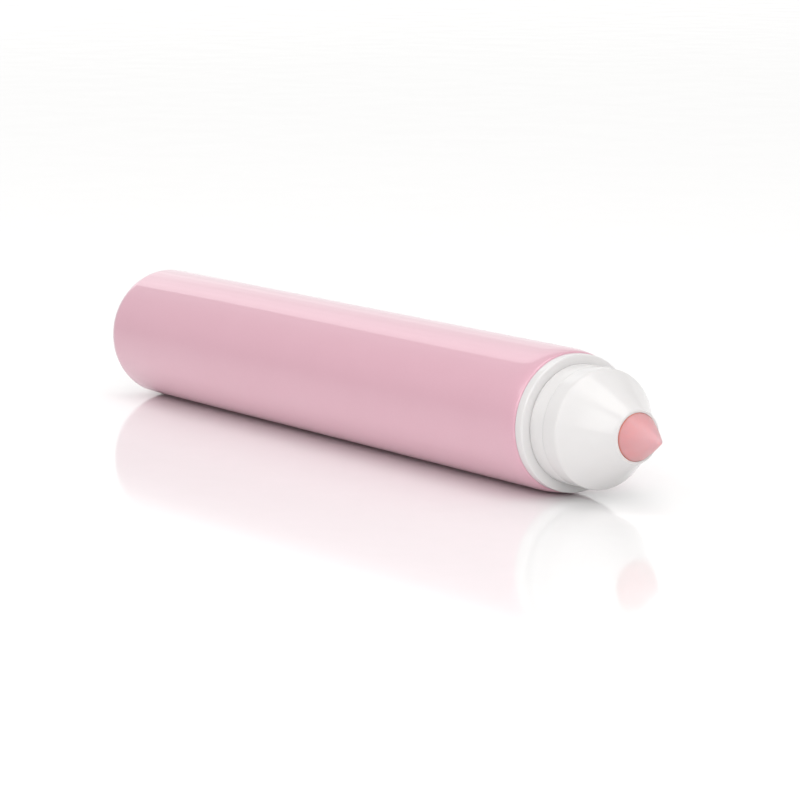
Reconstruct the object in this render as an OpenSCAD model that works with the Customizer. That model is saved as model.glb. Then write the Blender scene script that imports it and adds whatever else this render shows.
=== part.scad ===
// Mascara tube, lying on its side: slim barrel, screw cap with a pointed tip, wand inside.
// Frame: X along the tube towards the tip, Z up, origin under the middle of the tube
// on the surface it lies on. Millimetres. Stations along the tube are counted from the base.

/* [Barrel] */
// Outer diameter of the barrel
barrel_d = 19; // [18.6:0.1:19.6]
// Length of the barrel from its base to its lip
barrel_len = 104; // [100:0.5:108]
// Wall thickness of the barrel
barrel_wall = 1.2; // [1.1:0.05:1.25]
// Thickness of the barrel's base
base_wall = 1.5; // [1.2:0.1:1.8]
// Round of the base's outer edge
base_round = 3.0; // [2:0.1:3.2]
// How far the lip is drawn in
lip_draw = 0.42; // [0.4:0.05:0.7]
// Length over which the lip is drawn in
lip_len = 3.4; // [2.5:0.1:4.5]

/* [Base fittings] */
// Diameter of the blank label
label_d = 11; // [8:0.5:12]
// Depth of the label's recess
label_recess = 0.25; // [0.2:0.05:0.4]
// Length of the steel weight
weight_len = 8; // [4:0.5:9]
// Thickness of the foam pad
pad_t = 1.5; // [1:0.1:2]

/* [Vial] */
// Outer diameter of the vial
vial_d = 14.6; // [14.2:0.1:14.7]
// Wall thickness of the vial
vial_wall = 0.9; // [0.7:0.05:1]
// Station of the vial's underside
vial_from = 22; // [20:0.5:24]
// Station of the neck's rim
neck_top = 109; // [108.6:0.1:109.2]
// Outer diameter of the neck
neck_d = 10; // [9.8:0.1:10.2]
// Bore diameter of the neck
neck_bore = 8.2; // [8:0.1:8.3]
// Rise of the cap in one turn
thread_lead = 2.5; // [2:0.25:3]
// Height of the thread above the neck
thread_h = 0.45; // [0.3:0.05:0.5]

/* [Collar] */
// Station of the collar's front edge
collar_top = 105.47; // [105.3:0.01:105.5]
// Outer diameter of the collar's front edge
collar_d = 18.06; // [17.9:0.02:18.1]
// Bore diameter of the collar in front of its web
collar_bore = 13.8; // [13.6:0.1:13.9]

/* [Cap] */
// Station of the cap's bottom edge
cap_from = 105.62; // [105.6:0.01:105.7]
// Outer diameter of the cap's base ring
ring_d = 15.64; // [15.5:0.02:15.66]
// Station of the parting line between the cap's two pieces
parting_at = 108.24; // [108.1:0.01:108.4]
// Outer diameter of the band in front of the parting line
band_d = 15.7; // [15.6:0.02:15.8]
// Station where the band begins to turn into the cone
shoulder_at = 110.65; // [110.5:0.05:110.8]
// Radius of the turn between the band and the cone
shoulder_round = 0.8; // [0.6:0.1:1]
// Station of the cone's nose
nose_at = 117.8; // [117.6:0.05:118]
// Outer diameter of the nose
nose_d = 7.0; // [6.9:0.05:7.2]
// How far the cone's side bows inward
cone_bow = 0.2; // [0:0.05:0.3]
// Wall thickness of the cap's shell
shell_wall = 1.15; // [1:0.05:1.2]

/* [Tip] */
// Diameter of the tip where it leaves the nose
tip_d = 6.22; // [6.1:0.02:6.4]
// Station of the tip's point
tip_at = 122.4; // [122:0.1:123]
// Radius of the tip's point
tip_round = 0.4; // [0.3:0.05:0.5]
// Half angle of the tip's cone at its point
tip_half = 37; // [35:0.5:39]
// How far the tip's side bulges outward
tip_bulge = 0.12; // [0:0.02:0.16]

/* [Wand] */
// Diameter of the stem
stem_d = 3.5; // [3.3:0.1:3.6]
// Station of the stem's lower end
stem_from = 56; // [54:0.5:60]
// Diameter of the brush's wire core
core_d = 1.5; // [1.2:0.1:1.6]
// Station of the brush's lower end
brush_from = 28; // [27.5:0.5:29]
// Length of the bristles
brush_len = 25; // [22:0.5:26]
// Largest diameter over the bristles
brush_d = 6.8; // [6:0.1:7.2]

/* [Hidden] */
$fn = 96;
outer_r = barrel_d / 2;
inner_r = outer_r - barrel_wall;
lip_r = outer_r - lip_draw;
weight_from = base_wall + 0.05;
pad_from = weight_from + weight_len + 0.05;
spacer_from = pad_from + pad_t + 0.05;
spacer_r = inner_r - 0.05;
vial_r = vial_d / 2;
vial_in = vial_r - vial_wall;
neck_r = neck_d / 2;
bore_r = neck_bore / 2;
shoulder_from = neck_top - 12.2;
web_from = shoulder_from + 2.6;
rim_top = neck_top + 0.6;
washer_top = rim_top + 0.5;
roof_from = washer_top + 0.05;
roof_top = roof_from + 1.2;
ring_r = ring_d / 2;
sleeve_r = collar_bore / 2 - 0.3;
band_r = band_d / 2;
nose_r = nose_d / 2;
tip_r = tip_d / 2;
plug_r = tip_r - 0.8;
stem_r = stem_d / 2;
core_r = core_d / 2;
total = tip_at;
cone_from = shoulder_at + shoulder_round * 0.6;
cone_from_r = band_r - shoulder_round * 0.2;
cone_len = nose_at - 0.15 - cone_from;
tip_apex = tip_at - tip_round + tip_round / sin(tip_half);

// Lays a solid drawn along Z down along X and rests it on the surface.
module lay() {
  translate([-total / 2, 0, outer_r]) rotate([0, 90, 0]) children();
}

// Points of a quarter ellipse about [x, y], from a0 to a1 degrees.
function arc(x, y, rx, ry, a0, a1, steps = 8) =
  [for (i = [0 : steps]) let (a = a0 + (a1 - a0) * i / steps) [x + rx * cos(a), y + ry * sin(a)]];

// Radius of the cone's outer side at t, which runs from 0 at its foot to 1 at the nose.
function cone_r(t) = cone_from_r + (nose_r - cone_from_r) * t - cone_bow * 4 * t * (1 - t);

// Points along the cone's side from t0 to t1, moved inward by w.
function cone_side(t0, t1, w, steps = 10) =
  [for (i = [0 : steps]) let (t = t0 + (t1 - t0) * i / steps) [cone_r(t) - w, cone_from + cone_len * t]];

// Points along the tip's side, from the nose to where its rounded point begins.
function tip_side(steps = 10) =
  [for (i = [0 : steps - 1]) let (t = i / steps, r = tip_r * (1 - t) + tip_bulge * 4 * t * (1 - t))
    if (r > tip_round * 1.1) [r, nose_at + (tip_apex - nose_at) * t]];

module barrel() {
  color([0.88, 0.71, 0.76]) lay() difference() {
    rotate_extrude() polygon(concat(
      [[0, 0]],
      arc(outer_r - base_round, base_round, base_round, base_round, -90, 0),
      arc(lip_r, barrel_len - lip_len, lip_draw, lip_len, 0, 84),
      [[lip_r - 0.12, barrel_len], [inner_r, barrel_len], [inner_r, base_wall], [0, base_wall]]
    ));
    translate([0, 0, -1]) cylinder(r = label_d / 2 + 0.1, h = 1 + label_recess);
  }
}

module base_label() {
  color([0.96, 0.95, 0.93]) lay()
    translate([0, 0, label_recess - 0.12]) cylinder(d = label_d, h = 0.12);
}

module base_weight() {
  color([0.62, 0.63, 0.65]) lay() translate([0, 0, weight_from]) rotate_extrude() polygon([
    [0, 0],
    [inner_r - 0.6, 0],
    [inner_r - 0.1, 0.5],
    [inner_r - 0.1, weight_len - 0.5],
    [inner_r - 0.6, weight_len],
    [0, weight_len]
  ]);
}

module base_pad() {
  color([0.30, 0.30, 0.32]) lay()
    translate([0, 0, pad_from]) cylinder(r = inner_r - 0.15, h = pad_t);
}

module vial_spacer() {
  color([0.93, 0.93, 0.90]) lay() difference() {
    translate([0, 0, spacer_from]) cylinder(r = spacer_r, h = vial_from + 6 - spacer_from);
    translate([0, 0, spacer_from - 1]) cylinder(r = spacer_r - 1.2, h = vial_from - 0.5 - spacer_from);
    translate([0, 0, vial_from - 0.05]) cylinder(r = vial_r + 0.05, h = 8);
  }
}

// One turn of the neck's thread stands proud of the neck as a leaning ring.
module thread_ring(at) {
  translate([0, 0, at]) rotate([0, atan(thread_lead / (4 * neck_r)), 0]) rotate_extrude() polygon([
    [neck_r - 0.5, -0.75],
    [neck_r - 0.05, -0.7],
    [neck_r + thread_h, -0.25],
    [neck_r + thread_h, 0.25],
    [neck_r - 0.05, 0.7],
    [neck_r - 0.5, 0.75]
  ]);
}

module vial() {
  color([0.95, 0.96, 0.96, 0.6]) lay() difference() {
    union() {
      rotate_extrude() polygon(concat(
        [[0, vial_from]],
        arc(vial_r - 1, vial_from + 1, 1, 1, -90, 0, 6),
        [[vial_r, shoulder_from], [neck_r, shoulder_from + 2], [neck_r, neck_top], [0, neck_top]]
      ));
      thread_ring(neck_top - 2.3);
      thread_ring(neck_top - 2.3 - thread_lead);
    }
    rotate_extrude() polygon([
      [0, vial_from + 1.3],
      [vial_in - 0.8, vial_from + 1.3],
      [vial_in, vial_from + 2.1],
      [vial_in, shoulder_from - 0.4],
      [bore_r, shoulder_from + 1.3],
      [bore_r, neck_top + 1],
      [0, neck_top + 1]
    ]);
  }
}

module wiper() {
  color([0.90, 0.91, 0.88]) lay() rotate_extrude() polygon([
    [bore_r - 0.03, neck_top + 0.03],
    [neck_r - 0.1, neck_top + 0.03],
    [neck_r - 0.1, rim_top - 0.1],
    [neck_r - 0.2, rim_top],
    [bore_r - 0.7, rim_top],
    [bore_r - 0.8, rim_top - 0.4],
    [bore_r - 0.8, neck_top - 7.5],
    [stem_r + 0.08, neck_top - 10.2],
    [stem_r + 0.08, neck_top - 10.8],
    [stem_r + 0.6, neck_top - 10.8],
    [bore_r - 0.03, neck_top - 7.9]
  ]);
}

module collar() {
  color([0.95, 0.94, 0.94]) lay() rotate_extrude() polygon(concat(
    [[vial_r + 0.05, shoulder_from - 4]],
    [[inner_r - 0.35, shoulder_from - 4], [inner_r - 0.02, shoulder_from - 3.4]],
    [[inner_r - 0.02, barrel_len + 0.02], [lip_r - 0.02, barrel_len + 0.02]],
    arc(collar_d / 2 - 0.25, collar_top - 0.25, 0.25, 0.25, 0, 90, 5),
    arc(collar_bore / 2 + 0.4, collar_top - 0.4, 0.4, 0.4, 90, 180, 5),
    [[collar_bore / 2, web_from + 1.2], [neck_r + 0.05, web_from + 1.2]],
    [[neck_r + 0.05, web_from], [vial_r + 0.05, web_from]]
  ));
}

module seal_washer() {
  color([0.85, 0.83, 0.80]) lay() translate([0, 0, rim_top + 0.02]) difference() {
    cylinder(r = neck_r + 0.3, h = 0.46);
    translate([0, 0, -1]) cylinder(r = stem_r + 0.1, h = 3);
  }
}

module cap_base() {
  color([0.95, 0.94, 0.94]) lay() difference() {
    rotate_extrude() polygon(concat(
      [[0, web_from + 1.8], [sleeve_r - 0.4, web_from + 1.8], [sleeve_r, web_from + 2.3]],
      [[sleeve_r, cap_from]],
      arc(ring_r - 0.25, cap_from + 0.25, 0.25, 0.25, -90, 0, 5),
      [[ring_r, parting_at - 0.02], [sleeve_r, parting_at - 0.02]],
      [[sleeve_r, roof_from], [sleeve_r - 0.6, roof_top], [0, roof_top]]
    ));
    translate([0, 0, web_from]) cylinder(r = neck_r + thread_h + 0.25, h = roof_from - web_from);
    translate([0, 0, web_from]) cylinder(r = stem_r + 0.02, h = 20);
  }
}

module cap_shell() {
  color([0.96, 0.95, 0.95]) lay() difference() {
    rotate_extrude() polygon(concat(
      [[0, parting_at], [band_r - 0.12, parting_at]],
      arc(band_r - 0.12, parting_at + 0.12, 0.12, 0.12, -60, 0, 3),
      arc(band_r - shoulder_round, shoulder_at, shoulder_round, shoulder_round, 0, 32, 4),
      cone_side(0, 1, 0),
      arc(nose_r - 0.15, nose_at - 0.15, 0.15, 0.15, 30, 90, 3),
      [[0, nose_at]]
    ));
    translate([0, 0, parting_at - 1]) cylinder(r = sleeve_r + 0.05, h = roof_from + 1 - parting_at);
    rotate_extrude() polygon(concat(
      [[0, roof_from - 0.1], [sleeve_r + 0.05, roof_from - 0.1]],
      cone_side(0, 0.5, shell_wall, 6),
      [[0, cone_from + cone_len * 0.5]]
    ));
    translate([0, 0, nose_at - 0.85]) cylinder(r = tip_r + 0.06, h = 2);
    cylinder(r = plug_r + 0.06, h = nose_at);
  }
}

module tip_insert() {
  color([0.88, 0.62, 0.64]) lay() rotate_extrude() polygon(concat(
    [[0, nose_at - 4.2], [plug_r - 0.3, nose_at - 4.2], [plug_r, nose_at - 3.9], [plug_r, nose_at - 0.8]],
    [[tip_r, nose_at - 0.8]],
    tip_side(),
    arc(0, tip_at - tip_round, tip_round, tip_round, tip_half, 90, 6)
  ));
}

module stem() {
  color([0.20, 0.19, 0.20]) lay() difference() {
    rotate_extrude() polygon([
      [0, stem_from],
      [stem_r - 0.4, stem_from],
      [stem_r, stem_from + 0.8],
      [stem_r, roof_top + 0.03],
      [3.2, roof_top + 0.03],
      [3.2, roof_top + 0.9],
      [2.9, roof_top + 1.2],
      [0, roof_top + 1.2]
    ]);
    translate([0, 0, stem_from - 1]) cylinder(r = core_r + 0.02, h = 6);
  }
}

module brush_core() {
  color([0.55, 0.55, 0.57]) lay() rotate_extrude() polygon([
    [0, brush_from],
    [core_r - 0.2, brush_from],
    [core_r, brush_from + 0.3],
    [core_r, stem_from + 4.6],
    [core_r - 0.2, stem_from + 4.9],
    [0, stem_from + 4.9]
  ]);
}

module bristles() {
  color([0.10, 0.10, 0.11]) lay() translate([0, 0, brush_from + 1]) difference() {
    rotate_extrude() polygon([
      [0, 0],
      [brush_d * 0.26, 0],
      [brush_d * 0.40, brush_len * 0.12],
      [brush_d * 0.50, brush_len * 0.40],
      [brush_d * 0.50, brush_len * 0.62],
      [brush_d * 0.44, brush_len * 0.88],
      [brush_d * 0.36, brush_len],
      [0, brush_len]
    ]);
    translate([0, 0, -1]) cylinder(r = core_r + 0.02, h = brush_len + 2);
  }
}

barrel();
base_label();
base_weight();
base_pad();
vial_spacer();
vial();
wiper();
collar();
seal_washer();
cap_base();
cap_shell();
tip_insert();
stem();
brush_core();
bristles();
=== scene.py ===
import math

import bpy
import numpy as np
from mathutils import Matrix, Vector


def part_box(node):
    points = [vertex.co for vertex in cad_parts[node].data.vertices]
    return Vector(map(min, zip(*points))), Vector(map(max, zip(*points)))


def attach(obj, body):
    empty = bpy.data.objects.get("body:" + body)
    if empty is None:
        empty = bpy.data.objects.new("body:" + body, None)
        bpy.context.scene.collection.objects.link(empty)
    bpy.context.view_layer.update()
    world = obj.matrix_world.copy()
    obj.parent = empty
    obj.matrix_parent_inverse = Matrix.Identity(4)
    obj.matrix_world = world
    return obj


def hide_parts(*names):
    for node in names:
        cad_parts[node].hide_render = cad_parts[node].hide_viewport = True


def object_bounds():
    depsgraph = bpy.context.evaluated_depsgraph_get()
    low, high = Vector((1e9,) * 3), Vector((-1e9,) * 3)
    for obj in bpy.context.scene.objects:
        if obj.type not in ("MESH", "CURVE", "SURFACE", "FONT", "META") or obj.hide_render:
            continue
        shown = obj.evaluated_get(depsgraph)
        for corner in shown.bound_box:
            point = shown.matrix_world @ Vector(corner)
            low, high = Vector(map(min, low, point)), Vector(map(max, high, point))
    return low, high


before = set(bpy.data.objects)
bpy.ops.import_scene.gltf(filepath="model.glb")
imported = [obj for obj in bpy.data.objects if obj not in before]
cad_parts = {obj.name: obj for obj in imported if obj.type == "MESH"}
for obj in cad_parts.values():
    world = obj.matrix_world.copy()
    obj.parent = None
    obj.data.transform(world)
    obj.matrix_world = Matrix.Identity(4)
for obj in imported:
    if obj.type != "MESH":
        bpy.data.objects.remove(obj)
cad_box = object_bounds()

# ---------------------------------------------------------------- camera
# The tube lies along X, with its tip towards +X, on the surface z = 0. The camera looks down
# the tube from in front of the tip, from well back, so that the barrel hardly tapers.
base_x = cad_box[0].x
axis_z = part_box("barrel")[1].z / 2
barrel_r = axis_z
lip_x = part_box("barrel")[1].x

camera_data = bpy.data.cameras.new("camera")
camera_data.sensor_width = 36
camera_data.lens = 156.4
camera = bpy.data.objects.new("camera", camera_data)
bpy.context.scene.collection.objects.link(camera)
camera_from_lip = Vector((37.07, -28.32, 7.86)) * barrel_r
look_azimuth, look_down = math.radians(145.48), math.radians(9.21)
look = Vector((math.cos(look_azimuth) * math.cos(look_down),
               math.sin(look_azimuth) * math.cos(look_down),
               -math.sin(look_down)))
camera.location = Vector((lip_x, 0, axis_z)) + camera_from_lip
camera.rotation_euler = look.to_track_quat("-Z", "Y").to_euler()
bpy.context.scene.camera = camera


# ---------------------------------------------------------------- floor and light
# A sheet of glossy white board under the tube. Finish writes a material's nodes: a Val is one
# output that varies over the surface, and arithmetic on it adds Math nodes.
class Val:
    """A number that varies over a surface, as one output socket of a material."""

    def __init__(self, finish, socket):
        self.finish = finish
        self.socket = socket

    def math(self, operation, first, second=0.0):
        return self.finish.node("Math", {"operation": operation}, [first, second])

    def __add__(self, other):
        return self.math("ADD", self, other)

    def __radd__(self, other):
        return self.math("ADD", other, self)

    def __sub__(self, other):
        return self.math("SUBTRACT", self, other)

    def __rsub__(self, other):
        return self.math("SUBTRACT", other, self)

    def __mul__(self, other):
        return self.math("MULTIPLY", self, other)

    def __rmul__(self, other):
        return self.math("MULTIPLY", other, self)


class Finish:
    """A material with one Principled shader, whose constant settings are given by socket name."""

    def __init__(self, name, **constants):
        self.material = bpy.data.materials.new(name)
        self.material.use_nodes = True
        self.tree = self.material.node_tree
        self.shader = self.tree.nodes["Principled BSDF"]
        for socket, value in constants.items():
            self.feed(socket.replace("_", " "), value)

    def feed(self, socket, value):
        """Sets one of the shader's sockets to a constant, or links it to a Val."""
        self.put(self.shader.inputs[socket], value)

    def put(self, socket, value):
        """Sets or links one socket of any node; a colour of three numbers gets an alpha of 1."""
        if isinstance(value, Val):
            self.tree.links.new(value.socket, socket)
        elif isinstance(value, (tuple, list)):
            is_colour = len(socket.default_value) == 4
            socket.default_value = (*value, 1.0) if is_colour else value
        else:
            socket.default_value = value

    def node(self, kind, settings=None, inputs=(), output=0):
        """Adds a node, sets it up, feeds its sockets by place or name, and returns one output."""
        made = self.tree.nodes.new("ShaderNode" + kind)
        for key, value in (settings or {}).items():
            setattr(made, key, value)
        pairs = inputs.items() if isinstance(inputs, dict) else enumerate(inputs)
        for key, value in pairs:
            self.put(made.inputs[key], value)
        return Val(self, made.outputs[output])

    def place(self, stretch=(1, 1, 1)):
        """Where a point is on the object, in metres, stretched along each axis."""
        where = self.node("TexCoord", output="Object")
        return self.node("VectorMath", {"operation": "MULTIPLY"}, [where, stretch])

    def noise(self, size, detail=2.0, stretch=(1, 1, 1)):
        """Cloudy noise from 0 to 1, whose lumps are about size metres across."""
        sockets = {"Vector": self.place(stretch), "Scale": 1 / size, "Detail": detail}
        return self.node("TexNoise", {}, sockets, "Fac")

    def along_x(self, start, stop):
        """0 up to x = start, rising evenly to 1 at x = stop, in metres."""
        x = self.node("SeparateXYZ", {}, [self.place()])
        sockets = {"Value": x, "From Min": start, "From Max": stop}
        return self.node("MapRange", {"clamp": True}, sockets)

    def blend(self, amount, one, other):
        """The colour one where amount is 0, other where it is 1."""
        return self.node("Mix", {"data_type": "RGBA"}, {0: amount, 6: one, 7: other}, 2)

    def relief(self, height, depth):
        """Feeds the shader's normal with a height from 0 to 1 that stands depth metres proud."""
        self.feed("Normal", self.node("Bump", {}, {"Height": height, "Distance": depth}, "Normal"))

    def on(self, piece):
        """Gives a piece this material alone."""
        piece.data.materials.clear()
        piece.data.materials.append(self.material)


def sheet_mesh(name, points, faces):
    """A new object whose mesh has these points and faces."""
    mesh = bpy.data.meshes.new(name)
    mesh.from_pydata(np.asarray(points).tolist(), [], faces)
    made = bpy.data.objects.new(name, mesh)
    bpy.context.scene.collection.objects.link(made)
    return made


floor_half = 6.0
floor_points = [(-floor_half, -floor_half, 0), (floor_half, -floor_half, 0),
                (floor_half, floor_half, 0), (-floor_half, floor_half, 0)]
floor = sheet_mesh("floor", floor_points, [(0, 1, 2, 3)])
board = Finish("white_board", Specular_IOR_Level=0.4)
board.feed("Base Color", board.blend(board.noise(0.004), (0.95, 0.95, 0.95), (0.97, 0.97, 0.975)))
board.feed("Roughness", 0.07 + 0.04 * board.noise(0.02))
board.on(floor)

# The studio is grey, except for the wall behind the tube, which is white up to a third of its
# height: white = [height < a third] * [behind].
world = bpy.data.worlds.new("studio")
bpy.context.scene.world = world
world.use_nodes = True
sky = world.node_tree


def sky_node(kind, settings, inputs):
    """Adds a node to the world, with its inputs by name or place; returns its first output."""
    made = sky.nodes.new("ShaderNode" + kind)
    for key, value in settings.items():
        setattr(made, key, value)
    for key, value in inputs.items():
        if isinstance(value, bpy.types.NodeSocket):
            sky.links.new(value, made.inputs[key])
        else:
            made.inputs[key].default_value = value
    return made.outputs[0]


split = sky.nodes.new("ShaderNodeSeparateXYZ")
sky.links.new(sky_node("TexCoord", {}, {}), split.inputs[0])
low = sky_node("MapRange", {}, {"Value": split.outputs["Z"], "From Min": 0.42, "From Max": 0.30})
behind = sky_node("MapRange", {}, {"Value": split.outputs["Y"], "From Min": -0.05, "From Max": 0.15})
white = sky_node("Math", {"operation": "MULTIPLY"}, {0: low, 1: behind})
grey_wall, white_wall = 0.62, 1.04
walls = sky_node("MapRange", {}, {"Value": white, "To Min": grey_wall, "To Max": white_wall})
sky.links.new(walls, sky.nodes["Background"].inputs["Strength"])
sky.nodes["Background"].inputs["Color"].default_value = (1.0, 0.995, 0.99, 1)
bpy.context.scene.view_settings.view_transform = "Standard"


def softbox(name, centre, aim, size, radiance, colour=(1, 1, 1)):
    """A rectangular lamp, facing aim, that looks equally bright (radiance) all over."""
    lamp = bpy.data.lights.new(name, "AREA")
    lamp.shape = "RECTANGLE"
    lamp.size, lamp.size_y = size
    lamp.energy = radiance * math.pi * size[0] * size[1]
    lamp.color = colour
    made = bpy.data.objects.new(name, lamp)
    made.location = centre
    made.rotation_euler = (Vector(aim) - Vector(centre)).to_track_quat("-Z", "Y").to_euler()
    bpy.context.scene.collection.objects.link(made)
    return made


# A long softbox hangs over the far end. Its near edge is crisp and lies just behind the tube's top
# line; towards the back it fades, which takes lamps of different depths on one near edge.
overhead_glow = 0.88
near_slope = math.tan(math.radians(4))
for height, reach in ((0.90, 20), (0.91, 32), (0.92, 46), (0.93, 60)):
    back_slope = math.tan(math.radians(reach))
    middle = Vector((-2.05, height * (near_slope + back_slope) / 2, height))
    softbox("overhead_%d" % reach, middle, middle - Vector((0, 0, 1)),
            (2.3, height * (back_slope - near_slope)), overhead_glow / 4)

# Softboxes for the cap: a small one straight above it, a tall one to the left of it, one by the
# camera, a broad dim one above the camera, and a strip that draws a line of light along the lip.
head = Vector((lip_x, 0, axis_z))
softbox("top", head + Vector((0.04, -0.02, 0.8)), head, (0.4, 0.47), 1.8, (1.0, 0.99, 0.97))
softbox("left", head + Vector((0.2, -0.95, 0.6)), head, (0.24, 1.0), 1.8, (1.0, 0.99, 0.98))
softbox("front", head + Vector((1.0, -0.71, 0.52)), head, (0.6, 0.6), 3.6, (1.0, 0.99, 0.985))
softbox("fill", head + Vector((0.75, -0.25, 0.95)), head, (0.9, 0.9), 1.0)
softbox("strip", head + Vector((-0.3, -0.45, 0.78)), head, (0.14, 0.8), 2.6)


# ---------------------------------------------------------------- barrel
# The long outer tube: moulded plastic, sprayed with a pink pearl base and a clear gloss coat.
# Its base is flat inside a soft round, with a shallow recess for the label. Its lip is rolled in.
def bow(x, r, across, up, start, stop, steps=10):
    """Outline points on a quarter ellipse about (x, r): x + across cos a, r + up sin a."""
    angles = np.radians(np.linspace(start, stop, steps + 1))
    return list(zip(x + across * np.cos(angles), r + up * np.sin(angles)))


def turned(name, outline, sides=192, swell=None):
    """A turned piece: an outline of (x, radius) points carried once round the tube's axis.

    Point i, j is (x_i, -r sin a_j, axis_z + r cos a_j), where a_j runs once round and r is the
    outline's radius r_i plus swell(x_i, a_j). An outline that begins and ends on the axis gets
    a pole at each end; any other is joined back to its start. Edges sharper than 35 degrees
    stay crisp, and the rest are shaded smooth.
    """
    outline = np.array(outline, float)
    capped = outline[0, 1] == 0 and outline[-1, 1] == 0
    rings = outline[1:-1] if capped else outline
    x, radius = rings[:, :1], rings[:, 1:]
    angle = np.linspace(0, 2 * np.pi, sides, endpoint=False)[None, :]
    radius = radius + (swell(x, angle) if swell else 0 * angle)
    grid = np.stack([x + 0 * angle, -radius * np.sin(angle), axis_z + radius * np.cos(angle)], 2)
    points = grid.reshape(-1, 3)
    count = len(rings)
    row = np.arange(count - 1 if capped else count)[:, None]
    side = np.arange(sides)[None, :]
    below, above = row * sides, (row + 1) % count * sides
    beside = (side + 1) % sides
    quads = np.stack(np.broadcast_arrays(below + side, above + side, above + beside, below + beside), 2)
    faces = quads.reshape(-1, 4).tolist()
    if capped:
        poles = [[outline[0, 0], 0, axis_z], [outline[-1, 0], 0, axis_z]]
        points = np.vstack([points, poles])
        first, last = count * sides, count * sides + 1
        edge, after, top = side[0], beside[0], (count - 1) * sides
        start_fan = np.stack([edge * 0 + first, edge, after], 1)
        end_fan = np.stack([edge * 0 + last, top + after, top + edge], 1)
        faces += start_fan.tolist() + end_fan.tolist()
    following = np.roll(outline, -1, axis=0)
    area = np.sum(outline[:, 0] * following[:, 1] - following[:, 0] * outline[:, 1])
    if area < 0:
        faces = [face[::-1] for face in faces]
    made = sheet_mesh(name, points, faces)
    made.data.shade_smooth()
    made.data.set_sharp_from_angle(angle=math.radians(35))
    return made


mm = 0.001
barrel_wall, base_wall, base_round = 1.2 * mm, 1.5 * mm, 3.0 * mm
lip_draw, lip_len, lip_edge = 0.42 * mm, 3.4 * mm, 0.32 * mm
label_r, label_recess = 5.5 * mm, 0.25 * mm
inner_r = barrel_r - barrel_wall
lip_r = barrel_r - lip_draw
recess_r = label_r + 0.1 * mm

barrel_outline = (
    [(base_x + label_recess, 0), (base_x + label_recess, recess_r)]
    + [(base_x, recess_r + 0.05 * mm)]
    + bow(base_x + base_round, barrel_r - base_round, base_round, base_round, 180, 90, 16)
    + [(base_x + (lip_x - lip_len - base_x) * part, barrel_r) for part in (0.25, 0.5, 0.75)]
    + bow(lip_x - lip_len, lip_r, lip_len, lip_draw, 90, 24, 16)
    + bow(lip_x - lip_edge, lip_r - 0.15 * mm, lip_edge, lip_edge, 74, 0, 10)
    + [(lip_x, inner_r + 0.1 * mm), (lip_x - 0.1 * mm, inner_r)]
    + [(base_x + base_wall, inner_r), (base_x + base_wall, 0)]
)
barrel = turned("barrel_pearl", barrel_outline, sides=256)

pearl = Finish("pink_pearl_lacquer", Metallic=0.12, Coat_Weight=1.0, Coat_Roughness=0.02,
               Coat_IOR=1.5, Specular_IOR_Level=0.5)
flake = pearl.noise(0.00016, detail=1.0)
cloud = pearl.noise(0.006, detail=3.0)
speck = 0.5 + 0.55 * (flake - 0.5) + 0.25 * (cloud - 0.5)
pearl.feed("Base Color", pearl.blend(speck, (0.675, 0.36, 0.445), (0.74, 0.44, 0.525)))
pearl.feed("Roughness", 0.36 + 0.14 * flake)
peel = pearl.noise(0.0022, detail=1.0)
pearl.relief(0.75 * peel + 0.25 * flake, 0.000012)
pearl.on(barrel)
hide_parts("barrel")
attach(barrel, "tube")


# ---------------------------------------------------------------- base label
# A blank round sticker of matt film, pressed into the recess in the base.
label_t, label_back = 0.12 * mm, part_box("base_label")[0].x
label = turned("label_film", [
    (label_back, 0), (label_back, label_r - 0.03 * mm), (label_back + 0.03 * mm, label_r),
    (label_back + label_t, label_r), (label_back + label_t, 0)])
film = Finish("label_film", Roughness=0.6, Specular_IOR_Level=0.35)
fibre = film.noise(0.0005, detail=4.0)
film.feed("Base Color", film.blend(fibre, (0.80, 0.76, 0.75), (0.90, 0.87, 0.86)))
film.relief(fibre, 0.00001)
film.on(label)
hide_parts("base_label")
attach(label, "tube")


# ---------------------------------------------------------------- base weight
# A slug turned from bar steel and left bare, dropped into the bottom of the barrel.
weight_low, weight_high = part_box("base_weight")
slug_r, slug_bevel = weight_high.z - axis_z, 0.5 * mm
slug = turned("steel_slug", [
    (weight_low.x, 0), (weight_low.x, slug_r - slug_bevel), (weight_low.x + slug_bevel, slug_r),
    (weight_high.x - slug_bevel, slug_r), (weight_high.x, slug_r - slug_bevel), (weight_high.x, 0)])
steel = Finish("turned_steel", Metallic=1.0)
tool_mark = steel.noise(0.0004, detail=3.0, stretch=(8, 0.4, 0.4))
steel.feed("Base Color", steel.blend(tool_mark, (0.42, 0.42, 0.43), (0.62, 0.62, 0.63)))
steel.feed("Roughness", 0.25 + 0.25 * tool_mark)
steel.relief(tool_mark, 0.00002)
steel.on(slug)
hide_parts("base_weight")
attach(slug, "tube")


# ---------------------------------------------------------------- base pad
# A disc punched from dark closed-cell foam, which takes up the play above the slug.
pad_low, pad_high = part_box("base_pad")
pad_r, pad_soft = pad_high.z - axis_z, 0.25 * mm
pad = turned("foam_pad",
             [(pad_low.x, 0)]
             + bow(pad_low.x + pad_soft, pad_r - pad_soft, pad_soft, pad_soft, 180, 90, 5)
             + bow(pad_high.x - pad_soft, pad_r - pad_soft, pad_soft, pad_soft, 90, 0, 5)
             + [(pad_high.x, 0)])
foam = Finish("dark_foam", Roughness=0.9, Specular_IOR_Level=0.2)
cells = foam.node("TexVoronoi", {}, {"Vector": foam.place(), "Scale": 1 / 0.0004}, "Distance")
foam.feed("Base Color", foam.blend(cells, (0.02, 0.02, 0.022), (0.09, 0.09, 0.095)))
foam.relief(cells, 0.00012)
foam.on(pad)
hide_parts("base_pad")
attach(pad, "tube")


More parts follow.
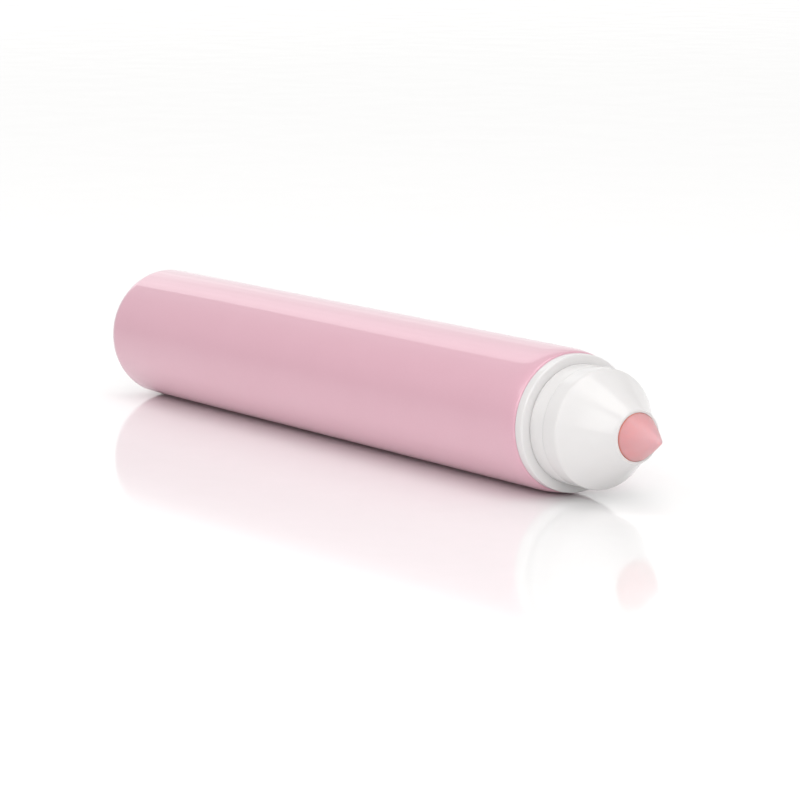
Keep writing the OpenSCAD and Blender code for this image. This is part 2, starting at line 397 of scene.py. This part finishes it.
# ---------------------------------------------------------------- vial spacer
# A moulded cup of natural polypropylene that stands on the pad and holds the vial central.
spacer_low, spacer_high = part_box("vial_spacer")
vial_low, vial_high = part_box("vial")
vial_r = vial_high.z - axis_z
spacer_r, spacer_wall, cup_floor = spacer_high.z - axis_z, 1.2 * mm, 1.45 * mm
cup_x = vial_low.x - 0.05 * mm
spacer = turned("spacer_cup", [
    (cup_x - cup_floor, 0), (cup_x - cup_floor, spacer_r - spacer_wall),
    (spacer_low.x, spacer_r - spacer_wall), (spacer_low.x, spacer_r - 0.1 * mm),
    (spacer_low.x + 0.1 * mm, spacer_r), (spacer_high.x - 0.1 * mm, spacer_r),
    (spacer_high.x, spacer_r - 0.1 * mm), (spacer_high.x, vial_r + 0.25 * mm),
    (spacer_high.x - 0.2 * mm, vial_r + 0.05 * mm), (cup_x, vial_r + 0.05 * mm), (cup_x, 0)])
natural = Finish("natural_polypropylene", Roughness=0.42, Subsurface_Weight=0.35,
                 Subsurface_Radius=(0.002, 0.002, 0.0018), Subsurface_Scale=1.0)
flow = natural.noise(0.004, detail=2.0, stretch=(0.3, 1, 1))
natural.feed("Base Color", natural.blend(flow, (0.78, 0.78, 0.74), (0.86, 0.86, 0.82)))
natural.feed("Roughness", 0.36 + 0.12 * flow)
natural.on(spacer)
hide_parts("vial_spacer")
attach(spacer, "tube")


# ---------------------------------------------------------------- vial
# The blow-moulded bottle that holds the product: milky, slightly see-through plastic, with a
# shoulder, a straight neck and a screw thread that runs out at both ends.
def round_trip(x, start, stop):
    """1 between start and stop and 0 outside, with a ramp 25 degrees long at each end."""
    ramp = math.radians(25)
    return np.clip((x - start) / ramp, 0, 1) * np.clip((stop - x) / ramp, 0, 1)


vial_wall, vial_floor, vial_round = 0.9 * mm, 1.3 * mm, 1.0 * mm
neck_r, neck_bore = 5.0 * mm, 4.1 * mm
neck_x = vial_high.x
shoulder_x = neck_x - 12.2 * mm
thread_lead, thread_height = 2.5 * mm, 0.45 * mm
thread_start, thread_turns = neck_x - 6.2 * mm, 2.0


def neck_thread(x, angle):
    """How far the thread stands proud at x and angle.

    The thread's centre line is thread_start + lead * turn. At each angle, every turn k that
    passes there adds a flat-topped ridge of its distance from the line, and the ridge fades
    in and out over the thread's first and last 25 degrees.
    """
    ridge = 0 * x * angle
    for k in range(int(thread_turns) + 1):
        along = angle + 2 * np.pi * k
        distance = np.abs(x - thread_start - thread_lead * along / (2 * np.pi)) / thread_lead
        flank = np.clip((0.30 - distance) / 0.16, 0, 1)
        ridge = np.maximum(ridge, flank * round_trip(along, 0, thread_turns * 2 * np.pi))
    outside = x > shoulder_x + 2.2 * mm
    return thread_height * ridge * outside


neck_rings = [(shoulder_x + 2.3 * mm + (neck_x - 0.3 * mm - shoulder_x - 2.3 * mm) * part, neck_r)
              for part in np.linspace(0, 1, 110)]
vial_outer = (
    [(vial_low.x, 0)]
    + bow(vial_low.x + vial_round, vial_r - vial_round, vial_round, vial_round, 180, 90, 8)
    + bow(shoulder_x - 0.8 * mm, vial_r - 0.8 * mm, 0.8 * mm, 0.8 * mm, 90, 40, 6)
    + [(shoulder_x + 1.9 * mm, neck_r + 0.1 * mm)] + neck_rings
    + [(neck_x, neck_r - 0.2 * mm)]
)
vial_inner = [
    (neck_x, neck_bore + 0.15 * mm), (neck_x - 0.2 * mm, neck_bore),
    (shoulder_x + 1.3 * mm, neck_bore), (shoulder_x - 0.4 * mm, vial_r - vial_wall),
    (vial_low.x + 2.1 * mm, vial_r - vial_wall), (vial_low.x + vial_floor, vial_r - vial_wall - 0.8 * mm),
    (vial_low.x + vial_floor, 0)]


def outer_thread(x, angle):
    """The neck's thread on the outer rings, and nothing on the rings of the bore."""
    is_outer = (np.arange(len(x)) < len(vial_outer) - 1)[:, None]
    return neck_thread(x, angle) * is_outer


vial = turned("vial_bottle", vial_outer + vial_inner, sides=160, swell=outer_thread)
milky = Finish("milky_plastic", Roughness=0.3, Subsurface_Weight=0.5,
               Subsurface_Radius=(0.003, 0.003, 0.0028), Subsurface_Scale=1.0)
streak = milky.noise(0.003, detail=3.0, stretch=(0.25, 1, 1))
milky.feed("Base Color", milky.blend(streak, (0.82, 0.83, 0.82), (0.90, 0.91, 0.90)))
milky.feed("Roughness", 0.24 + 0.14 * streak)
milky.on(vial)
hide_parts("vial")
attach(vial, "tube")


# ---------------------------------------------------------------- wiper
# A soft polyethylene sleeve pressed into the neck; its lip strips the brush and the stem.
wiper_low, wiper_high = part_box("wiper")
lip_bore, wiper_wall = 1.83 * mm, 0.75 * mm
wiper = turned("wiper_sleeve", [
    (neck_x + 0.03 * mm, neck_bore - 0.03 * mm), (neck_x + 0.03 * mm, neck_r - 0.15 * mm),
    (wiper_high.x - 0.12 * mm, neck_r - 0.1 * mm), (wiper_high.x, neck_r - 0.22 * mm),
    (wiper_high.x, neck_bore - 0.65 * mm), (wiper_high.x - 0.15 * mm, neck_bore - wiper_wall),
    (neck_x - 7.5 * mm, neck_bore - wiper_wall), (wiper_low.x + 0.6 * mm, lip_bore),
    (wiper_low.x, lip_bore), (wiper_low.x, lip_bore + 0.5 * mm),
    (neck_x - 7.9 * mm, neck_bore - 0.03 * mm)])
soft = Finish("soft_polyethylene", Roughness=0.5, Subsurface_Weight=0.3,
              Subsurface_Radius=(0.002, 0.002, 0.0018), Subsurface_Scale=1.0)
skin = soft.noise(0.0008, detail=2.0)
soft.feed("Base Color", soft.blend(skin, (0.76, 0.77, 0.74), (0.84, 0.85, 0.82)))
soft.relief(skin, 0.00001)
soft.on(wiper)
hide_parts("wiper")
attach(wiper, "tube")


# ---------------------------------------------------------------- collar
# The white ring that closes the barrel's mouth: its skirt is pressed into the barrel, and only
# the band in front of the lip shows. Moulded plastic with a soft gloss.
collar_low, collar_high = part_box("collar")
collar_r, collar_bore, collar_edge = collar_high.z - axis_z, 6.9 * mm, 0.25 * mm
web_x, web_t = shoulder_x + 2.6 * mm, 1.2 * mm
collar_outline = (
    [(collar_low.x, vial_r + 0.05 * mm), (collar_low.x, inner_r - 0.35 * mm)]
    + [(collar_low.x + 0.6 * mm, inner_r - 0.02 * mm), (lip_x + 0.02 * mm, inner_r - 0.02 * mm)]
    + bow(lip_x + 0.12 * mm, lip_r - 0.14 * mm, 0.1 * mm, 0.1 * mm, 180, 90, 4)
    + bow(collar_high.x - collar_edge, collar_r - collar_edge, collar_edge, collar_edge, 90, 0, 8)
    + bow(collar_high.x - 0.4 * mm, collar_bore + 0.4 * mm, 0.4 * mm, 0.4 * mm, 0, -90, 8)
    + [(web_x + web_t, collar_bore), (web_x + web_t, neck_r + 0.05 * mm)]
    + [(web_x, neck_r + 0.05 * mm), (web_x, vial_r + 0.05 * mm)]
)
collar = turned("collar_ring", collar_outline, sides=256)


def white_plastic(name):
    """The white mouldings' finish: a faint cloudiness, soft orange peel and a little depth."""
    made = Finish(name, Subsurface_Weight=0.12, Subsurface_Scale=1.0,
                  Subsurface_Radius=(0.0012, 0.0011, 0.001), Specular_IOR_Level=0.5)
    drift = made.noise(0.005, detail=3.0)
    grain = made.noise(0.0002, detail=1.0)
    made.feed("Base Color", made.blend(drift, (0.715, 0.702, 0.703), (0.755, 0.742, 0.738)))
    made.feed("Roughness", 0.10 + 0.05 * drift + 0.04 * grain)
    made.relief(0.8 * made.noise(0.0015, detail=1.0) + 0.2 * grain, 0.00001)
    return made


white_plastic("collar_white").on(collar)
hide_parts("collar")
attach(collar, "tube")


# ---------------------------------------------------------------- seal washer
# A soft ring that lies on the neck's rim and seals against the cap's roof.
washer_low, washer_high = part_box("seal_washer")
washer_r, washer_bore, washer_edge = washer_high.z - axis_z, 1.85 * mm, 0.08 * mm
washer = turned("seal_ring", [
    (washer_low.x, washer_bore), (washer_low.x, washer_r - washer_edge),
    (washer_low.x + washer_edge, washer_r), (washer_high.x - washer_edge, washer_r),
    (washer_high.x, washer_r - washer_edge), (washer_high.x, washer_bore)])
seal = Finish("seal_rubber", Roughness=0.7, Specular_IOR_Level=0.4)
bloom = seal.noise(0.0006, detail=4.0)
seal.feed("Base Color", seal.blend(bloom, (0.70, 0.68, 0.64), (0.80, 0.78, 0.74)))
seal.relief(bloom, 0.00001)
seal.on(washer)
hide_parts("seal_washer")
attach(washer, "washer")


# ---------------------------------------------------------------- cap base
# The lower moulding of the cap: a plain white ring outside, and inside it the threaded sleeve
# that reaches down into the collar and the roof that the stem is fixed through.
base_ring_low, base_ring_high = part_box("cap_base")
ring_x, parting_x = lip_x + 1.53 * mm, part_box("cap_shell")[0].x
ring_r, sleeve_r = base_ring_high.z - axis_z, 6.6 * mm
thread_bore, stem_r, roof_t = 5.7 * mm, 1.75 * mm, 1.2 * mm
roof_x = base_ring_high.x - roof_t
inner_end = 1.85 * 2 * np.pi


def sleeve_thread(x, angle):
    """The shape of the sleeve's thread, from 0 to 1: a ridge half a lead off the neck's ridge.

    It begins a quarter turn up, so that it leaves the neck's thread after one and a quarter
    turns of the cap.
    """
    ridge = 0 * x * angle
    for k in range(3):
        along = angle + 2 * np.pi * k
        line = thread_start + thread_lead * (0.5 + along / (2 * np.pi))
        distance = np.abs(x - line) / thread_lead
        flank = np.clip((0.26 - distance) / 0.14, 0, 1)
        ridge = np.maximum(ridge, flank * round_trip(along, np.pi / 2, inner_end))
    return ridge


ring_outer = (
    [(base_ring_low.x, sleeve_r - 0.4 * mm), (base_ring_low.x + 0.5 * mm, sleeve_r), (ring_x, sleeve_r)]
    + bow(ring_x + 0.14 * mm, ring_r - 0.14 * mm, 0.14 * mm, 0.14 * mm, 180, 90, 6)
    + bow(parting_x - 0.06 * mm, ring_r - 0.04 * mm, 0.04 * mm, 0.04 * mm, 90, 0, 4)
    + [(parting_x - 0.02 * mm, sleeve_r), (roof_x, sleeve_r), (base_ring_high.x, sleeve_r - 0.6 * mm)]
    + [(base_ring_high.x, stem_r + 0.02 * mm), (roof_x, stem_r + 0.02 * mm), (roof_x, thread_bore)]
)
bore_rings = [(roof_x + (base_ring_low.x - roof_x) * part, thread_bore)
              for part in np.linspace(0.01, 1, 90)]


def bore_thread(x, angle):
    """The sleeve's thread, on the bore's rings only, reaching in between the neck's turns."""
    in_bore = (np.arange(len(x)) >= len(ring_outer))[:, None]
    return -0.36 * mm * sleeve_thread(x, angle) * in_bore


cap_base = turned("cap_base_ring", ring_outer + bore_rings, sides=224, swell=bore_thread)
white_plastic("cap_base_white").on(cap_base)
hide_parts("cap_base")
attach(cap_base, "cap")


# ---------------------------------------------------------------- cap shell
# The white cone of the cap: a short straight band that turns over a soft shoulder into a long,
# slightly hollow cone, with a socket in its nose. It is snapped and welded onto the cap base.
shell_low, shell_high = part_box("cap_shell")
tip_low, tip_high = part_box("tip_insert")
band_r, shoulder_round, cone_bow = shell_high.z - axis_z, 0.8 * mm, 0.2 * mm
shoulder_turn_x = shell_low.x + 2.41 * mm
nose_x, nose_r, nose_edge = shell_high.x, 3.5 * mm, 0.15 * mm
cone_x, cone_r = shoulder_turn_x + 0.6 * shoulder_round, band_r - 0.2 * shoulder_round
cone_end = nose_x - nose_edge
shell_wall, tip_r = 1.15 * mm, 3.11 * mm
socket_r, plug_r, socket_x = tip_r + 0.03 * mm, tip_r - 0.76 * mm, nose_x - 0.85 * mm


def cone_side(start, stop, inward, steps=24):
    """The cone's side from start to stop, each from 0 at its foot to 1 at the nose.

    The radius runs straight from foot to nose, less a bow of 4 t (1 - t) times its depth.
    """
    t = np.linspace(start, stop, steps + 1)
    radius = cone_r + (nose_r - cone_r) * t - cone_bow * 4 * t * (1 - t) - inward
    return list(zip(cone_x + (cone_end - cone_x) * t, radius))


shell_outline = (
    [(parting_x, sleeve_r + 0.05 * mm)]
    + bow(parting_x + 0.12 * mm, band_r - 0.12 * mm, 0.12 * mm, 0.12 * mm, 160, 90, 6)
    + bow(shoulder_turn_x, band_r - shoulder_round, shoulder_round, shoulder_round, 90, 58, 10)
    + cone_side(0.02, 1, 0)
    + bow(cone_end, nose_r - nose_edge, nose_edge, nose_edge, 60, 0, 5)
    + [(nose_x, socket_r), (socket_x, socket_r), (socket_x, plug_r)]
    + [(cone_x + (cone_end - cone_x) * 0.5, plug_r)]
    + cone_side(0.5, 0, shell_wall, 6)
    + [(roof_x - 0.1 * mm, sleeve_r + 0.05 * mm)]
)
cap_shell = turned("cap_shell_cone", shell_outline, sides=256)
white_plastic("cap_shell_white").on(cap_shell)
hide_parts("cap_shell")
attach(cap_shell, "cap")


# ---------------------------------------------------------------- tip insert
# The soft pointed tip, moulded in salmon-pink silicone and plugged into the cone's nose.
tip_round, tip_bulge, tip_half = 0.6 * mm, 0.12 * mm, math.radians(37)
tip_apex = tip_high.x - tip_round + tip_round / math.sin(tip_half)
tip_t = np.linspace(0, 1, 40)
tip_side = [(x, r) for x, r in zip(nose_x + (tip_apex - nose_x) * tip_t,
                                   tip_r * (1 - tip_t) + tip_bulge * 4 * tip_t * (1 - tip_t))
            if r > tip_round * 0.9]
tip_outline = (
    [(tip_low.x, 0), (tip_low.x, plug_r - 0.34 * mm), (tip_low.x + 0.3 * mm, plug_r - 0.04 * mm)]
    + [(nose_x - 0.8 * mm, plug_r - 0.04 * mm), (nose_x - 0.8 * mm, tip_r)]
    + tip_side
    + bow(tip_high.x - tip_round, 0, tip_round, tip_round, 53, 8, 8) + [(tip_high.x, 0)]
)
tip = turned("soft_tip", tip_outline, sides=192)
silicone = Finish("salmon_silicone", Roughness=0.38, Subsurface_Weight=0.6, Subsurface_Scale=1.0,
                  Subsurface_Radius=(0.0022, 0.0009, 0.0008), Specular_IOR_Level=0.45)
mottle = silicone.noise(0.0012, detail=3.0)
up_tip = silicone.along_x(nose_x, tip_high.x)
# Painted light: a deep orange-red line at the rim, standing in for light gathered in the silicone's edge,
# blended in over the last 0.22 mm by the socket.
rim_glow_mask = silicone.along_x(nose_x + 0.22 * mm, nose_x)
body_colour = silicone.blend(mottle, (0.64, 0.28, 0.29), (0.69, 0.325, 0.335))
pale_colour = silicone.blend(up_tip, body_colour, (0.66, 0.40, 0.43))
silicone.feed("Base Color", silicone.blend(rim_glow_mask, pale_colour, (0.68, 0.17, 0.12)))
silicone.feed("Roughness", 0.34 + 0.12 * mottle)
silicone.relief(silicone.noise(0.00025, detail=2.0), 0.000012)
silicone.on(tip)
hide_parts("tip_insert")
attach(tip, "cap_carrier")


# ---------------------------------------------------------------- stem
# The rod that carries the brush: moulded satin black, headed over the cap's roof, with a
# tapered foot that the brush's wire is pressed into.
stem_low, stem_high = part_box("stem")
head_r, foot_len = 3.2 * mm, 1.6 * mm
core_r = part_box("brush_core")[1].z - axis_z
stem_outline = (
    [(stem_low.x + 5 * mm, 0), (stem_low.x + 5 * mm, core_r + 0.02 * mm), (stem_low.x, core_r + 0.02 * mm)]
    + bow(stem_low.x + 0.3 * mm, stem_r - 0.55 * mm, 0.3 * mm, 0.3 * mm, 180, 110, 5)
    + [(stem_low.x + foot_len, stem_r), (base_ring_high.x + 0.03 * mm, stem_r)]
    + [(base_ring_high.x + 0.03 * mm, head_r)]
    + bow(stem_high.x - 0.3 * mm, head_r - 0.3 * mm, 0.3 * mm, 0.3 * mm, 90, 0, 6)
    + [(stem_high.x, 0)]
)
stem = turned("wand_stem", stem_outline, sides=96)
black = Finish("satin_black", Roughness=0.4, Specular_IOR_Level=0.5)
matt = black.noise(0.0005, detail=3.0)
black.feed("Base Color", black.blend(matt, (0.006, 0.006, 0.0065), (0.018, 0.0175, 0.018)))
black.feed("Roughness", 0.32 + 0.16 * matt)
black.relief(matt, 0.000015)
black.on(stem)
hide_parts("stem")
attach(stem, "cap")


# ---------------------------------------------------------------- brush core
# Two strands of steel wire twisted together, which grip the bristles between them.
core_low, core_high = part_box("brush_core")
strand_r, strand_off, twist_lead = core_r * 0.5, core_r * 0.5, 2.2 * mm


def twisted_strands(name, start, stop, strands=2, rings=420, around=10):
    """Strands wound about the axis: each is a round wire carried along a helix.

    A strand's centre at station u is (x, off sin w, off cos w), with w = 2 pi (x / lead +
    strand / strands), and its ring there is a circle in the plane across the axis.
    """
    x = np.linspace(start, stop, rings)[:, None]
    turn = np.linspace(0, 2 * np.pi, around, endpoint=False)[None, :]
    points, faces = [], []
    for strand in range(strands):
        wind = 2 * np.pi * ((x - start) / twist_lead + strand / strands)
        taper = np.clip(np.minimum(x - start, stop - x) / (0.3 * mm), 0.05, 1) ** 0.5
        y = strand_off * np.sin(wind) + strand_r * taper * np.sin(turn)
        z = strand_off * np.cos(wind) + strand_r * taper * np.cos(turn)
        grid = np.stack([x + 0 * turn, -y, axis_z + z], 2).reshape(-1, 3)
        offset = strand * (rings * around + 2)
        ends = [[start, -strand_off * math.sin(wind[0, 0]), axis_z + strand_off * math.cos(wind[0, 0])],
                [stop, -strand_off * math.sin(wind[-1, 0]), axis_z + strand_off * math.cos(wind[-1, 0])]]
        points.append(np.vstack([grid, ends]))
        row, side = np.arange(rings - 1)[:, None] * around, np.arange(around)[None, :]
        beside = (side + 1) % around
        quads = np.stack(np.broadcast_arrays(row + side, row + beside, row + around + beside,
                                             row + around + side), 2).reshape(-1, 4)
        edge, after, top = side[0], beside[0], (rings - 1) * around
        first, last = rings * around, rings * around + 1
        fans = np.vstack([np.stack([edge * 0 + first, after, edge], 1),
                          np.stack([edge * 0 + last, top + edge, top + after], 1)])
        faces += (quads + offset).tolist() + (fans + offset).tolist()
    made = sheet_mesh(name, np.vstack(points), faces)
    made.data.shade_smooth()
    return made


core = twisted_strands("twisted_wire", core_low.x, core_high.x)
wire = Finish("steel_wire", Metallic=1.0)
draw_mark = wire.noise(0.0003, detail=2.0, stretch=(0.3, 1, 1))
wire.feed("Base Color", wire.blend(draw_mark, (0.40, 0.40, 0.42), (0.58, 0.58, 0.60)))
wire.feed("Roughness", 0.22 + 0.2 * draw_mark)
wire.relief(draw_mark, 0.000008)
wire.on(core)
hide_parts("brush_core")
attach(core, "cap")


# ---------------------------------------------------------------- bristles
# Nylon filaments caught in the twist of the wire, so that they stand out in a double spiral.
# The brush is ground to a spindle shape after twisting.
brush_low, brush_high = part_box("bristles")
brush_r = brush_high.z - axis_z
filament_r, filament_count = 0.055 * mm, 2600


def brush(name, seed=7):
    """Filaments standing out from the core, each a tapered three-sided bar with two bends.

    Filament n starts on the axis at x_n, in the direction of the strands' gap there, with a
    little scatter, and reaches the spindle 0.52 + 0.48 sin(pi t) ** 0.6 of the full radius,
    where t runs from 0 to 1 along the brush.
    """
    random = np.random.default_rng(seed)
    t = np.sort(random.random(filament_count))
    x = brush_low.x + (brush_high.x - brush_low.x) * t
    side_of = np.pi * (np.arange(filament_count) % 2)
    wind = 2 * np.pi * (x - core_low.x) / twist_lead + np.pi / 2 + side_of
    wind += random.normal(0, 0.22, filament_count)
    lean = random.normal(0, 0.07, filament_count)
    reach = brush_r * (0.52 + 0.48 * np.sin(np.pi * np.clip(t, 0.02, 0.98)) ** 0.6)
    reach *= random.uniform(0.93, 1.0, filament_count)
    stations = np.array([0.0, 0.4, 0.75, 1.0])
    corner = 2 * np.pi * np.arange(3) / 3
    out = np.stack([0 * wind, -np.sin(wind), np.cos(wind)], 1)
    across = np.stack([0 * wind, -np.cos(wind), -np.sin(wind)], 1)
    along = np.array([1.0, 0, 0])
    curl = random.normal(0, 0.10, filament_count)
    length = reach[:, None] * stations[None, :]
    bend = (curl * reach)[:, None] * stations[None, :] ** 2
    centre = (np.stack([x, 0 * x, 0 * x + axis_z], 1)[:, None, :]
              + length[:, :, None] * out[:, None, :] + bend[:, :, None] * across[:, None, :]
              + (lean[:, None] * length)[:, :, None] * along)
    thick = filament_r * np.array([1.0, 0.95, 0.85, 0.45])
    ring = (np.cos(corner)[None, None, :, None] * across[:, None, None, :]
            + np.sin(corner)[None, None, :, None] * along) * thick[None, :, None, None]
    points = (centre[:, :, None, :] + ring).reshape(-1, 3)
    base = (np.arange(filament_count) * 12)[:, None, None]
    low = (np.arange(3) * 3)[None, :, None]
    here, then = np.arange(3)[None, None, :], (np.arange(3)[None, None, :] + 1) % 3
    sides = np.stack(np.broadcast_arrays(base + low + here, base + low + 3 + here,
                                         base + low + 3 + then, base + low + then), 3)
    root = base[:, 0] + np.array([0, 1, 2])
    tip_end = base[:, 0] + np.array([11, 10, 9])
    made = sheet_mesh(name, points, sides.reshape(-1, 4).tolist() + root.tolist() + tip_end.tolist())
    made.data.shade_smooth()
    return made


bristles = brush("nylon_bristles")
nylon = Finish("black_nylon", Roughness=0.35, Specular_IOR_Level=0.5)
dye = nylon.noise(0.0006, detail=2.0)
nylon.feed("Base Color", nylon.blend(dye, (0.008, 0.008, 0.009), (0.03, 0.028, 0.03)))
nylon.feed("Roughness", 0.28 + 0.2 * dye)
nylon.on(bristles)
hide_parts("bristles")
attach(bristles, "cap")
